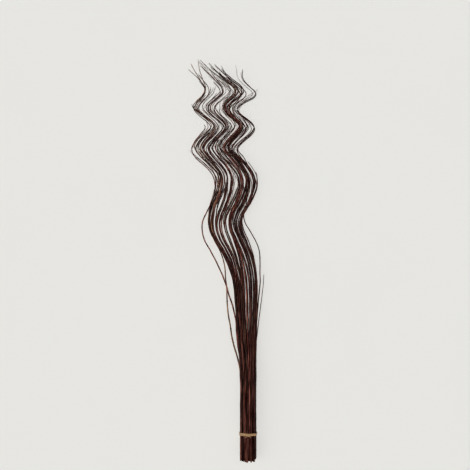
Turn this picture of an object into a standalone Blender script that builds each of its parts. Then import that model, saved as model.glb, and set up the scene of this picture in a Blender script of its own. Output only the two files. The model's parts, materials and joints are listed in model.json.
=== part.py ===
"""A bunch of wavy willow branches, tied near the cut ends and laid on the floor.

The branches run along +Y, from the cut ends to the tips. The origin is on the floor, under the middle of the bunch.
"""
import math
import random

import bmesh
import bpy
import numpy as np
from mathutils import Vector

MM = 0.001

# Driving sizes, in millimetres. "Along" is measured from the cut ends towards the tips.
BUNCH_LENGTH = 1370.0
HELD_LENGTH = 230.0  # the branches stay straight and tight up to here
LOOSE_LENGTH = 200.0  # the stretch over which they open into their locks
BUTT_RADIUS = 3.0
BUTT_RANGE = (0.86, 1.12)
UNEVEN_CUT = 14.0
BRANCH_TIP = 0.33  # radius at the tip, as a share of the butt's
BRANCH_TAPER = 1.0
TWIG_SIZE = 0.62  # a side twig's radius, as a share of its branch's
TWIG_TIP = 0.5
CLEARANCE = 0.75  # between loose branches
TIED_CLEARANCE = 0.35
TIE_ALONG = 95.0
TIE_WIDTH = 10.0
TIE_THICKNESS = 1.8
TIE_GAP = 0.35
TIE_FLATTENED = 0.2  # what curves up by less than this is pressed level with the underside
BUNDLE_FLAT = 21.0  # how far under its middle the tied bundle is pressed flat
BRANCH_SIDES = 5
TWIG_SIDES = 3
SEED = 699

APOTHEM = math.cos(math.pi / BRANCH_SIDES)
GOLDEN_ANGLE = math.pi * (3 - math.sqrt(5))

# Where a branch's straight lengths meet: at the bends of the wave, and close together round them.
STATIONS = np.array((
    0, 230, 310, 395, 480, 550, 620, 700, 770, 819, 848, 888, 925, 950, 978, 1012, 1050, 1074, 1091,
    1130, 1146, 1160, 1197, 1211, 1223, 1248, 1259, 1272, 1300, 1335, 1370), float)

# Each lock's wave: how far it lies to the side, at these distances along. Its width and depth are given the same way.
WAVE_ALONG = (
    310, 413, 482, 551, 620, 654, 688, 723, 757, 792, 819, 843, 878, 912, 950, 981, 1015, 1043, 1074,
    1098, 1122, 1146, 1167, 1187, 1211, 1229, 1246, 1263, 1280, 1308, 1342, 1370)
WIDTH_ALONG = (310, 413, 551, 688, 757, 819, 912, 1015, 1043, 1074, 1122, 1146, 1187, 1211, 1263, 1370)
DEPTH_ALONG = (310, 480, 620, 819, 1074, 1211, 1370)
LOCKS = (
    dict(name="left", count=13, inward=1,
         wave=(-19, -29, -34, -40, -48, -58, -71, -89, -110, -126, -130, -127, -119, -105, -94, -96, -119, -144, -163,
               -150, -127, -114, -131, -158, -179, -170, -153, -141, -141, -160, -189, -212),
         half_width=(6, 9, 8, 9, 10, 15, 15, 19, 23, 21, 24, 17, 19, 18, 12, 14),
         depth=(30, 26, 22, 18, 16, 12, 8)),
    dict(name="middle", count=9, inward=0,
         wave=(-7, -17, -21, -26, -34, -43, -53, -69, -88, -101, -103, -98, -84, -71, -64, -65, -84, -108, -126,
               -115, -95, -79, -91, -114, -131, -124, -107, -91, -93, -117, -148, -172),
         half_width=(6, 8, 9, 10, 11, 11, 11, 12, 14, 16, 16, 15, 17, 17, 12, 14),
         depth=(40, 32, 26, 20, 16, 14, 10)),
    dict(name="right", count=29, inward=-1,
         wave=(7, 5, 4, 3, 1, -3, -10, -21, -34, -48, -52, -47, -29, -15, -7, -12, -31, -53, -74,
               -60, -38, -24, -36, -57, -69, -60, -40, -28, -36, -69, -103, -127),
         half_width=(18, 20, 27, 31, 30, 28, 35, 38, 41, 34, 36, 33, 33, 29, 20, 16),
         depth=(44, 40, 36, 30, 26, 20, 14)),
    dict(name="outer", count=4, inward=-1,
         wave=(22, 26, 28, 30, 29, 26, 19, 7, -8, -24, -26, -20, 0, 14, 24, 20, 0, -24, -34,
               -14, 10, 22, 6, -20, -34, -12, 20, 30, 12, -14, -20, -24),
         half_width=(4, 5, 6, 6, 7, 8, 8, 8, 9, 10, 8, 6, 6, 6, 6, 8),
         depth=(20, 14, 10, 8, 8, 8, 8)),
)

# Branches that stand clear of their lock for a stretch: distances along, and how much further to the side.
STRAYS = {
    ("left", 0): ((310, 379, 448, 516, 585, 620, 654, 700, 757, 1370),
                  (-8, -16, -21, -28, -25, -24, -16, -6, 0, 0)),
    ("left", 1): ((480, 530, 585, 654, 723, 757, 792, 826, 885, 912, 970, 1015, 1032, 1074, 1146, 1211, 1370),
                  (-2, -10, -23, -33, -37, -35, -26, -19, -4, -6, -16, -20, -22, -12, -8, 0, 0)),
    ("outer", 3): ((480, 551, 620, 654, 688, 723, 757, 792, 819, 843, 1370),
                   (0, 4, 11, 14, 21, 30, 32, 27, 12, 1, 0)),
}
LOW_TWIG = dict(lock="outer", place=2, start=395.0, end=640.0, out=26.0, rise=2.0, radius=1.5)

# How long the branches are: this share of them ends short of each length.
SHORTER_SHARE = (0, 0.11, 0.33, 0.47, 0.58, 0.69, 0.8, 1)
LENGTHS = (905, 1015, 1146, 1211, 1258, 1290, 1325, 1370)

# Each branch's habits: wandering inside its lock, in half-widths, partly with its neighbours, and keeping out of step.
WANDER_ALONG = (310, 620, 819, 950, 1074, 1146, 1211, 1263, 1370)
WANDER = (0, 0.22, 0.3, 0.35, 0.45, 0.5, 0.5, 0.55, 0.65)
OWN_WANDER = 0.45
SHARED_WANDER = 0.8
CLUMP_SIZE = 4  # neighbours that keep together, with gaps between one clump and the next
CLUMPED = 0.6  # how far each is drawn to its clump's middle
OUT_OF_STEP = 3.5
TIP_STRETCH = 110.0
TIP_CURL = (-16.0, 10.0)
TIP_RISE = (-14.0, 22.0)
TWIG_COUNT = 34
TWIG_STARTS = (819, 1223)
TWIG_LENGTHS = (100.0, 240.0)
TWIG_OUT = (12.0, 30.0)
TWIG_RISE = (0.0, 16.0)

# How the branches settle: small moves apart, while each is drawn back to its own route and stays springy.
SETTLE_STEPS = 600
CALM_STEPS = 300  # the last steps, with nothing drawn back and hardly any spring
DRAW_BACK = 0.99
SPRING = 0.2
CALM_SPRING = 0.03
SIDE_EASE = 0.15
LIFT_EASE = 0.46
LOOK_AGAIN = 15  # steps from one search for neighbours to the next
LOOK_ROUND = 6.0
TESTS_A_LENGTH = 5
PAST_FORK = 45.0  # from here on a twig and its branch are kept apart
PAST_TIP = 6.0

BARK_TONES = (
    ("dark", (0.050, 0.020, 0.015), 27),
    ("russet", (0.105, 0.038, 0.026), 20),
    ("olive", (0.120, 0.072, 0.042), 8),
)
BARK_ROUGHNESS = 0.55
TWINE_COLOUR = (0.42, 0.30, 0.17)
TWINE_ROUGHNESS = 0.9


def cleared_scene(name):
    """Empty the scene, and return a new collection for the object's parts."""
    for item in list(bpy.data.objects):
        bpy.data.objects.remove(item, do_unlink=True)
    parts = bpy.data.collections.new(name)
    bpy.context.scene.collection.children.link(parts)
    return parts


def plain_material(name, colour, roughness):
    material = bpy.data.materials.new(name)
    material.use_nodes = True
    shader = material.node_tree.nodes["Principled BSDF"]
    shader.inputs["Base Color"].default_value = (*colour, 1)
    shader.inputs["Roughness"].default_value = roughness
    shader.inputs["Metallic"].default_value = 0
    return material


def smooth_through(knots, values, at):
    """A curve without corners through every knot, read at the given distances."""
    knots = np.asarray(knots, float)
    values = np.asarray(values, float)
    slopes = np.gradient(values, knots)
    span = np.clip(np.searchsorted(knots, at, side="right") - 1, 0, len(knots) - 2)
    width = knots[span + 1] - knots[span]
    t = np.clip((at - knots[span]) / width, 0, 1)
    return (
        (1 + 2 * t) * (1 - t) ** 2 * values[span]
        + t * (1 - t) ** 2 * width * slopes[span]
        + t * t * (3 - 2 * t) * values[span + 1]
        + t * t * (t - 1) * width * slopes[span + 1])


def eased(share):
    share = np.clip(share, 0, 1)
    return share * share * (3 - 2 * share)


def radius_along(strand, at):
    share = np.clip((at - strand["start"]) / (strand["end"] - strand["start"]), 0, 1)
    return strand["radius"] * (1 - (1 - strand["tip"]) * share ** strand["taper"])


def tied_places(radii):
    """Where the branches stand in the tied bundle: discs drawn together on a floor until they touch."""
    order = np.arange(len(radii))
    reach = 1.9 * radii.mean() * np.sqrt(order + 0.5)
    places = np.stack((reach * np.cos(order * GOLDEN_ANGLE), reach * np.sin(order * GOLDEN_ANGLE)), axis=1)
    first, second = np.triu_indices(len(radii), 1)
    need = radii[first] + radii[second] + TIED_CLEARANCE
    pull, pulling, easing, steps = 0.012, 450, 0.6, 620
    for step in range(steps):
        places *= 1 - pull * max(0, 1 - step / pulling)
        apart = places[first] - places[second]
        distance = np.maximum(np.hypot(apart[:, 0], apart[:, 1]), 1e-6)
        push = 0.5 * easing * np.maximum(need - distance, 0) / distance
        for axis in (0, 1):
            places[:, axis] += np.bincount(first, push * apart[:, axis], len(radii))
            places[:, axis] -= np.bincount(second, push * apart[:, axis], len(radii))
        places[:, 1] = np.maximum(places[:, 1], radii - BUNDLE_FLAT)
    places[:, 0] -= ((places[:, 0] + radii).max() + (places[:, 0] - radii).min()) / 2
    places[:, 1] += BUNDLE_FLAT + TIE_THICKNESS + TIE_GAP
    return places


def main_branches(draw):
    """The branches, each with its place in the tied bundle, its lock, its length and its own habits."""
    count = sum(lock["count"] for lock in LOCKS)
    radii = np.array([BUTT_RADIUS * draw.uniform(*BUTT_RANGE) for _ in range(count)])
    tied = tied_places(radii)
    from_left = list(np.argsort(tied[:, 0], kind="stable"))
    branches = []
    for lock in LOCKS:
        members, from_left = from_left[: lock["count"]], from_left[lock["count"]:]
        from_floor = sorted(members, key=lambda member: tied[member, 1])
        ranks = draw.sample(range(lock["count"]), lock["count"])
        shared = [[draw.uniform(-reach, reach) for reach in WANDER] for _ in range(1 + lock["count"] // CLUMP_SIZE)]
        most = max(1, lock["count"] - 1)
        for place, member in enumerate(members):
            clump = place // CLUMP_SIZE
            clump_middle = min(most, clump * CLUMP_SIZE + (CLUMP_SIZE - 1) / 2)
            branches.append(dict(
                lock=lock, place=place, parent=None, tied=tied[member],
                radius=float(radii[member]), tip=BRANCH_TIP, taper=BRANCH_TAPER,
                start=UNEVEN_CUT * draw.random(),
                end=float(np.interp((ranks[place] + 0.5) / lock["count"], SHORTER_SHARE, LENGTHS)),
                side=-0.92 + 1.84 * (
                    (1 - CLUMPED) * (place + draw.uniform(-0.3, 0.3)) + CLUMPED * clump_middle) / most,
                level=from_floor.index(member) / most,
                wander=[
                    OWN_WANDER * draw.uniform(-reach, reach) + SHARED_WANDER * group
                    for reach, group in zip(WANDER, shared[clump])],
                step=draw.gauss(0, OUT_OF_STEP),
                curl=draw.uniform(*TIP_CURL),
                rise=max(0.0, draw.uniform(*TIP_RISE)),
                stray=STRAYS.get((lock["name"], place))))
    return branches


def side_twigs(branches, draw):
    """Twigs that fork off the branches at a shallow angle, each from one of its branch's stations."""
    twigs = []
    for number, branch in enumerate(branches):
        if (branch["lock"]["name"], branch["place"]) == (LOW_TWIG["lock"], LOW_TWIG["place"]):
            twigs.append(dict(LOW_TWIG, parent=number, tip=TWIG_TIP, taper=1.0))
    forked = [number for number, branch in enumerate(branches) if branch["end"] > TWIG_STARTS[0] + 2 * TWIG_LENGTHS[0]]
    for number in draw.sample(forked, TWIG_COUNT):
        branch = branches[number]
        starts = [s for s in STATIONS if TWIG_STARTS[0] <= s <= min(TWIG_STARTS[1], branch["end"] - TWIG_LENGTHS[0])]
        start = float(draw.choice(starts))
        inward = branch["lock"]["inward"] or draw.choice((-1, 1))
        twigs.append(dict(
            parent=number, start=start, end=min(start + draw.uniform(*TWIG_LENGTHS), BUNCH_LENGTH),
            out=inward * draw.uniform(*TWIG_OUT), rise=draw.uniform(*TWIG_RISE),
            radius=TWIG_SIZE * float(radius_along(branch, start)), tip=TWIG_TIP, taper=1.0))
    return twigs


def branch_route(branch, at):
    """Where a branch would lie, across and above, with nothing in its way."""
    lock = branch["lock"]
    opened = eased((at - HELD_LENGTH) / LOOSE_LENGTH)
    place = branch["side"] + smooth_through(WANDER_ALONG, branch["wander"], at)
    across = smooth_through(WAVE_ALONG, lock["wave"], at + branch["step"] * opened)
    across = across + place * smooth_through(WIDTH_ALONG, lock["half_width"], at)
    if branch["stray"]:
        across = across + smooth_through(*branch["stray"], at)
    above = APOTHEM * radius_along(branch, at) + branch["level"] * smooth_through(DEPTH_ALONG, lock["depth"], at)
    near_tip = np.clip((at - branch["end"] + TIP_STRETCH) / TIP_STRETCH, 0, 1.3) ** 2
    return np.stack((
        branch["tied"][0] * (1 - opened) + across * opened + branch["curl"] * near_tip,
        branch["tied"][1] * (1 - opened) + above * opened + branch["rise"] * near_tip), axis=-1)


def twig_route(twig, branches, at):
    """Where a twig would lie: beside its branch, and further from it all the way."""
    grown = np.clip((at - twig["start"]) / (twig["end"] - twig["start"]), 0, 1.4) ** 1.2
    return branch_route(branches[twig["parent"]], at) + grown[:, None] * np.array((twig["out"], twig["rise"]))


def settled_places(branches, twigs):
    """Every strand's place at each station, once it lies on the floor or its neighbours and clear of them."""
    strands = branches + twigs
    count, stations = len(strands), len(STATIONS)
    wanted = np.stack(
        [branch_route(branch, STATIONS) for branch in branches]
        + [twig_route(twig, branches, STATIONS) for twig in twigs], axis=1)
    radii = np.stack([radius_along(strand, STATIONS) for strand in strands], axis=1)
    held = STATIONS <= HELD_LENGTH

    # The strands are compared at each station and at some points of the straight length after it.
    low = np.append(np.repeat(np.arange(stations - 1), TESTS_A_LENGTH), stations - 2)
    share = np.append(np.tile(np.arange(TESTS_A_LENGTH) / TESTS_A_LENGTH, stations - 1), 1.0)
    near, far = (1 - share)[:, None], share[:, None]
    along = STATIONS[low] * near[:, 0] + STATIONS[low + 1] * far[:, 0]
    thick = radii[low] * near + radii[low + 1] * far
    slope = np.diff(wanted[..., 0], axis=0) / np.diff(STATIONS)[:, None]

    own = np.array([number if s["parent"] is None else s["parent"] for number, s in enumerate(strands)])
    starts = np.array([0 if s["parent"] is None else s["start"] for s in strands])
    ends = np.array([s["end"] for s in strands])
    there = (along[:, None] >= starts) & (along[:, None] <= ends + PAST_TIP)
    one, other = np.triu_indices(count, 1)
    past_fork = along[:, None] > np.maximum(starts[one], starts[other]) + PAST_FORK
    tested = there[:, one] & there[:, other] & ((own[one] != own[other]) | past_fork)

    places = wanted.copy()
    for step in range(SETTLE_STEPS):
        calm = step >= SETTLE_STEPS - CALM_STEPS
        drift = (places - wanted) * (1 if calm else DRAW_BACK)
        bend = np.zeros_like(drift)
        bend[1:-1] = drift[:-2] + drift[2:] - 2 * drift[1:-1]
        bend[-1] = drift[-2] - drift[-1]
        places = wanted + drift + (CALM_SPRING if calm else SPRING) * bend
        rows = places[low] * near[:, :, None] + places[low + 1] * far[:, :, None]
        if step % LOOK_AGAIN == 0:
            gap = np.abs(rows[:, one] - rows[:, other])
            reach = thick[:, one] + thick[:, other] + LOOK_ROUND
            row, pair = np.nonzero(tested & (gap < reach[..., None]).all(axis=-1))
            a, b = one[pair], other[pair]
            upright = 1 / np.hypot(1, (slope[low[row], a] + slope[low[row], b]) / 2)
            need = thick[row, a] + thick[row, b] + CLEARANCE
            before, after = near[row, 0], far[row, 0]
            spread = before ** 2 + after ** 2
            targets = np.concatenate([(low[row] + k) * count + strand for strand in (a, b) for k in (0, 1)])
            weights = np.concatenate((before / spread, after / spread))
        across = (rows[row, a, 0] - rows[row, b, 0]) * upright
        above = rows[row, a, 1] - rows[row, b, 1]
        distance = np.maximum(np.hypot(across, above), 1e-6)
        push = 0.5 * np.maximum(need - distance, 0) / distance
        for axis, move in enumerate((SIDE_EASE * push * across / upright, LIFT_EASE * push * above)):
            moves = weights * np.tile(move, 2)
            total = np.bincount(targets, np.concatenate((moves, -moves)), stations * count)
            places[..., axis] += total.reshape(stations, count)
        places[..., 1] = np.maximum(places[..., 1], APOTHEM * radii)
        places[held] = wanted[held]
        for number, twig in enumerate(twigs, len(branches)):
            joined = STATIONS <= twig["start"]
            places[joined, number] = places[joined, twig["parent"]]
    return places


def strand_points(strand, places):
    """The strand's corner points, from its cut or its fork to its tip: across, along, above and radius."""
    inner = STATIONS[(STATIONS > strand["start"] + 1) & (STATIONS < strand["end"] - 1)]
    along = np.concatenate(((strand["start"],), inner, (strand["end"],)))
    across, above = (np.interp(along, STATIONS, places[:, axis]) for axis in (0, 1))
    return np.stack((across, along, above, radius_along(strand, along)), axis=1)


def profile_guide(name, sides, guides):
    """A polygon of radius 1 mm with a flat underside: the strands' cross-section."""
    outline = bpy.data.curves.new(name, "CURVE")
    outline.dimensions = "2D"
    spline = outline.splines.new("POLY")
    spline.points.add(sides - 1)
    spline.use_cyclic_u = True
    for corner, point in enumerate(spline.points):
        angle = math.pi / 2 + 2 * math.pi * corner / sides
        point.co = (MM * math.cos(angle), MM * math.sin(angle), 0, 1)
    guide = bpy.data.objects.new(name, outline)
    guide.hide_render = True
    guide.display_type = "WIRE"
    guides.objects.link(guide)
    return guide


def strand_tube(name, points, profile, parts):
    """A tapering tube along the points, closed at both ends."""
    path = bpy.data.curves.new(name, "CURVE")
    path.dimensions = "3D"
    path.twist_mode = "Z_UP"
    path.bevel_mode = "OBJECT"
    path.bevel_object = profile
    path.use_fill_caps = True
    spline = path.splines.new("POLY")
    spline.points.add(len(points) - 1)
    for point, (across, along, above, radius) in zip(spline.points, points):
        point.co = (across * MM, along * MM, above * MM, 1)
        point.radius = radius
    curve = bpy.data.objects.new(name, path)
    parts.objects.link(curve)
    bpy.context.view_layer.update()
    mesh = bpy.data.meshes.new_from_object(curve.evaluated_get(bpy.context.evaluated_depsgraph_get()))
    bpy.data.objects.remove(curve)
    tube = bpy.data.objects.new(name, mesh)
    parts.objects.link(tube)
    shape = bmesh.new()
    shape.from_mesh(mesh)
    bmesh.ops.remove_doubles(shape, verts=shape.verts, dist=0.02 * MM)
    bmesh.ops.recalc_face_normals(shape, faces=shape.faces)
    shape.to_mesh(mesh)
    shape.free()
    return tube


def fused(branch, twigs, parts):
    """One body from a branch and its twigs: a Boolean union, applied, and the twigs removed."""
    group = bpy.data.collections.new(branch.name + "_twigs")
    bpy.context.scene.collection.children.link(group)
    for twig in twigs:
        parts.objects.unlink(twig)
        group.objects.link(twig)
    union = branch.modifiers.new("twigs", "BOOLEAN")
    union.operation = "UNION"
    union.operand_type = "COLLECTION"
    union.collection = group
    union.solver = "EXACT"
    bpy.context.view_layer.update()
    mesh = bpy.data.meshes.new_from_object(branch.evaluated_get(bpy.context.evaluated_depsgraph_get()))
    branch.modifiers.clear()
    branch.data = mesh
    for twig in twigs:
        bpy.data.objects.remove(twig)
    bpy.data.collections.remove(group)


def tie_loop(branches, offset, directions=48):
    """An outline round the tied bundle, the offset clear of it: the outermost points in every direction."""
    underside = TIE_THICKNESS + TIE_GAP - offset
    loop = []
    for number in range(directions):
        angle = -math.pi / 2 + 2 * math.pi * number / directions
        outward = np.array((math.cos(angle), math.sin(angle)))
        widest = max(branches, key=lambda branch: branch["tied"] @ outward + branch["radius"])
        across, above = widest["tied"] + outward * (widest["radius"] + offset)
        loop.append((across, above if above > underside + TIE_FLATTENED else underside))
    return loop


def tie_band(branches, parts):
    """The binding that holds the cut ends together: a flat closed band round the bundle."""
    outline = bpy.data.curves.new("binding", "CURVE")
    outline.dimensions = "2D"
    outline.fill_mode = "BOTH"
    outline.extrude = TIE_WIDTH / 2 * MM
    for offset in (TIE_GAP, TIE_GAP + TIE_THICKNESS):
        loop = tie_loop(branches, offset)
        spline = outline.splines.new("POLY")
        spline.points.add(len(loop) - 1)
        spline.use_cyclic_u = True
        for point, (across, above) in zip(spline.points, loop):
            point.co = (across * MM, above * MM, 0, 1)
    band = bpy.data.objects.new("binding", outline)
    band.location.y = TIE_ALONG * MM
    band.rotation_euler = (math.pi / 2, 0, 0)
    parts.objects.link(band)
    return band


def bark_tones(count, draw):
    """A tone for each branch, in a mixed order."""
    tones = [tone for tone in BARK_TONES for _ in range(tone[2])][:count]
    draw.shuffle(tones)
    return tones


def centred(parts):
    """Move the bunch so that the origin is on the floor, under the middle of its box."""
    bpy.context.view_layer.update()
    corners = np.array([part.matrix_world @ Vector(corner) for part in parts.objects for corner in part.bound_box])
    middle = (corners.min(axis=0) + corners.max(axis=0)) / 2
    for part in parts.objects:
        part.location.x -= middle[0]
        part.location.y -= middle[1]


def build():
    draw = random.Random(SEED)
    parts = cleared_scene("curly_willow_branch")
    guides = bpy.data.collections.new("guides")
    bpy.context.scene.collection.children.link(guides)

    branches = main_branches(draw)
    twigs = side_twigs(branches, draw)
    places = settled_places(branches, twigs)
    points = [strand_points(strand, places[:, number]) for number, strand in enumerate(branches + twigs)]

    branch_profile = profile_guide("branch_profile", BRANCH_SIDES, guides)
    twig_profile = profile_guide("twig_profile", TWIG_SIDES, guides)
    tones = bark_tones(len(branches), draw)
    for number, branch in enumerate(branches):
        name = f"branch_{number + 1:02d}"
        body = strand_tube(name, points[number], branch_profile, parts)
        forks = [
            strand_tube(f"{name}_twig_{k}", points[k], twig_profile, parts)
            for k, twig in enumerate(twigs, len(branches)) if twig["parent"] == number]
        if forks:
            fused(body, forks, parts)
        tone, colour, _ = tones[number]
        body.data.materials.clear()
        body.data.materials.append(plain_material(f"{name}_{tone}_bark", colour, BARK_ROUGHNESS))

    band = tie_band(branches, parts)
    band.data.materials.append(plain_material("binding_twine", TWINE_COLOUR, TWINE_ROUGHNESS))
    centred(parts)


build()
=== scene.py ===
import json
import math
import random

import bmesh
import bpy
import numpy as np
from mathutils import Matrix, Vector

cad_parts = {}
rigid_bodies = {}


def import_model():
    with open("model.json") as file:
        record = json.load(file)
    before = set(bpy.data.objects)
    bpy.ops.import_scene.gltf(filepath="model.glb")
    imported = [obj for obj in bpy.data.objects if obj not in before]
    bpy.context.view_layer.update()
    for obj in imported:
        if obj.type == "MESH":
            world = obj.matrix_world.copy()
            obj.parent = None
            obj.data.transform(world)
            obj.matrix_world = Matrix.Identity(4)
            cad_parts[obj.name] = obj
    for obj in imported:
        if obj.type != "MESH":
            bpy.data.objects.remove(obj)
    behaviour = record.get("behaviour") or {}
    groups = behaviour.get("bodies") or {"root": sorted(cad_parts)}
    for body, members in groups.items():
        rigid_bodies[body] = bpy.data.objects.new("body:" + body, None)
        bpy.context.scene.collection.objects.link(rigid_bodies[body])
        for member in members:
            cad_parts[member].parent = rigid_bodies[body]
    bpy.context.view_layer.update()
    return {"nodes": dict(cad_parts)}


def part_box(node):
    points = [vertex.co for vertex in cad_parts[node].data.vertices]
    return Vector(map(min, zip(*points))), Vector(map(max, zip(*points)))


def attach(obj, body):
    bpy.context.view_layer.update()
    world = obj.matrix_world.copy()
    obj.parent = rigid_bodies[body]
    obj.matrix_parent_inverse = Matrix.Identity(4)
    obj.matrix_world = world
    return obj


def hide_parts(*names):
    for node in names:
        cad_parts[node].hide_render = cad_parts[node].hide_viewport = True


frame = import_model()
mm = 0.001
print("frame loaded:", len(frame["nodes"]), "nodes")


# How the bunch grows and lies. Lengths are in mm, and "along" runs from the cut ends to the tips.
bunch = {
    "seed": 699,
    "length": 1370.0,
    "heldLength": 230.0,  # straight and tight up to here
    "looseLength": 200.0,  # the stretch over which it opens into locks
    "stations": (
        0, 230, 310, 395, 480, 550, 620, 700, 770, 819, 848, 888, 925, 950, 978, 1012, 1050, 1074, 1091,
        1130, 1146, 1160, 1197, 1211, 1223, 1248, 1259, 1272, 1300, 1335, 1370),
    "waveAlong": (
        310, 413, 482, 551, 620, 654, 688, 723, 757, 792, 819, 843, 878, 912, 950, 981, 1015, 1043, 1074,
        1098, 1122, 1146, 1167, 1187, 1211, 1229, 1246, 1263, 1280, 1308, 1342, 1370),
    "widthAlong": (310, 413, 551, 688, 757, 819, 912, 1015, 1043, 1074, 1122, 1146, 1187, 1211, 1263, 1370),
    "depthAlong": (310, 480, 620, 819, 1074, 1211, 1370),
    "wanderAlong": (310, 620, 819, 950, 1074, 1146, 1211, 1263, 1370),
    "wander": (0, 0.22, 0.3, 0.35, 0.45, 0.5, 0.5, 0.55, 0.65),  # in half-widths of the lock
    "ownWander": 0.45,
    "sharedWander": 0.8,
    "clumpSize": 4,  # neighbours that keep together, with gaps between one clump and the next
    "clumped": 0.6,  # how far each is drawn to its clump's middle
    "outermost": 0.92,  # in half-widths of the lock
    "jitter": 0.3,
    "outOfStep": 3.5,
}

locks = (
    {"name": "left", "count": 13, "inward": 1,
     "wave": (-19, -29, -34, -40, -48, -58, -71, -89, -110, -126, -130, -127, -119, -105, -94, -96, -119, -144, -163,
              -150, -127, -114, -131, -158, -179, -170, -153, -141, -141, -160, -189, -212),
     "halfWidth": (6, 9, 8, 9, 10, 15, 15, 19, 23, 21, 24, 17, 19, 18, 12, 14),
     "depth": (30, 26, 22, 18, 16, 12, 8)},
    {"name": "middle", "count": 9, "inward": 0,
     "wave": (-7, -17, -21, -26, -34, -43, -53, -69, -88, -101, -103, -98, -84, -71, -64, -65, -84, -108, -126,
              -115, -95, -79, -91, -114, -131, -124, -107, -91, -93, -117, -148, -172),
     "halfWidth": (6, 8, 9, 10, 11, 11, 11, 12, 14, 16, 16, 15, 17, 17, 12, 14),
     "depth": (40, 32, 26, 20, 16, 14, 10)},
    {"name": "right", "count": 29, "inward": -1,
     "wave": (7, 5, 4, 3, 1, -3, -10, -21, -34, -48, -52, -47, -29, -15, -7, -12, -31, -53, -74,
              -60, -38, -24, -36, -57, -69, -60, -40, -28, -36, -69, -103, -127),
     "halfWidth": (18, 20, 27, 31, 30, 28, 35, 38, 41, 34, 36, 33, 33, 29, 20, 16),
     "depth": (44, 40, 36, 30, 26, 20, 14)},
    {"name": "outer", "count": 4, "inward": -1,
     "wave": (22, 26, 28, 30, 29, 26, 19, 7, -8, -24, -26, -20, 0, 14, 24, 20, 0, -24, -34,
              -14, 10, 22, 6, -20, -34, -12, 20, 30, 12, -14, -20, -24),
     "halfWidth": (4, 5, 6, 6, 7, 8, 8, 8, 9, 10, 8, 6, 6, 6, 6, 8),
     "depth": (20, 14, 10, 8, 8, 8, 8)},
)

# Branches that stand clear of their lock for a stretch: distances along, and how much further to the side.
strays = {
    ("left", 0): ((310, 379, 448, 516, 585, 620, 654, 700, 757, 1370),
                  (-8, -16, -21, -28, -25, -24, -16, -6, 0, 0)),
    ("left", 1): ((480, 530, 585, 654, 723, 757, 792, 826, 885, 912, 970, 1015, 1032, 1074, 1146, 1211, 1370),
                  (-2, -10, -23, -33, -37, -35, -26, -19, -4, -6, -16, -20, -22, -12, -8, 0, 0)),
    ("outer", 3): ((480, 551, 620, 654, 688, 723, 757, 792, 819, 843, 1370),
                   (0, 4, 11, 14, 21, 30, 32, 27, 12, 1, 0)),
}

branch = {
    "buttRadius": 3.0,
    "buttRange": (0.86, 1.12),
    "unevenCut": 14.0,
    "tip": 0.33,  # radius at the tip, as a share of the butt's
    "shorterShare": (0, 0.11, 0.33, 0.47, 0.58, 0.69, 0.8, 1),
    "lengths": (905, 1015, 1146, 1211, 1258, 1290, 1325, 1370),
    "tipStretch": 110.0,
    "tipCurl": (-16.0, 10.0),
    "tipRise": (-14.0, 22.0),
    "clearance": 0.75,
    "tiedClearance": 0.35,
    "flatUnder": 21.0,  # how far under its middle the tied bundle is pressed flat
    "sides": 5,  # of the plain solids, whose flat undersides lie on the floor
}

twig = {
    "low": {"lock": "outer", "place": 2, "start": 395.0, "end": 640.0, "out": 26.0, "rise": 2.0, "radius": 1.5},
    "size": 0.62,  # radius, as a share of the branch's
    "tip": 0.5,
    "count": 34,
    "starts": (819, 1223),
    "lengths": (100.0, 240.0),
    "out": (12.0, 30.0),
    "rise": (0.0, 16.0),
}

binding = {
    "along": 95.0,
    "thickness": 1.8,
    "gap": 0.35,
    "turns": 5.4,
    "pitch": 1.82,
    "plies": 3,
    "plyTwist": 6.5,  # mm for one turn of the plies
    "plyDepth": 0.14,
    "flattened": 0.2,
    "directions": 240,
    "climb": 0.9,  # how high both ends climb over the other turns, in thicknesses
    "climbOver": 0.16,  # of a turn
    "drawnIn": 0.75,
    "knotSize": 1.25,
    "knotHeight": 1.05,
    "knotGap": 0.42,
    "knotAbove": 0.95,
    "tail": 11.0,
    "firstTail": ((0.55, -0.8, 0.0), (0, 0, -0.9)),  # where it runs, and how it sinks
    "lastTail": ((-0.65, -0.72, 0.0), (0, 0, -0.7)),
    "sides": 12,
    "endShare": 0.6,
}

settling = {
    "steps": 600,
    "calmSteps": 300,
    "drawBack": 0.99,
    "spring": 0.2,
    "calmSpring": 0.03,
    "sideEase": 0.15,
    "liftEase": 0.46,
    "lookAgain": 15,
    "lookRound": 6.0,
    "testsALength": 5,
    "pastFork": 45.0,
    "pastTip": 6.0,
}

flatShare = math.cos(math.pi / branch["sides"])
goldenAngle = math.pi * (3 - math.sqrt(5))
stations = np.array(bunch["stations"], float)


def smoothThrough(knots, values, at):
    # a curve without corners through every knot
    knots = np.asarray(knots, float)
    values = np.asarray(values, float)
    slopes = np.gradient(values, knots)
    span = np.clip(np.searchsorted(knots, at, side="right") - 1, 0, len(knots) - 2)
    width = knots[span + 1] - knots[span]
    t = np.clip((at - knots[span]) / width, 0, 1)
    return (
        (1 + 2 * t) * (1 - t) ** 2 * values[span]
        + t * (1 - t) ** 2 * width * slopes[span]
        + t * t * (3 - 2 * t) * values[span + 1]
        + t * t * (t - 1) * width * slopes[span + 1])


def eased(share):
    share = np.clip(share, 0, 1)
    return share * share * (3 - 2 * share)


def radiusAlong(strand, at):
    share = np.clip((at - strand["start"]) / (strand["end"] - strand["start"]), 0, 1)
    return strand["radius"] * (1 - (1 - strand["tip"]) * share)


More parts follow.
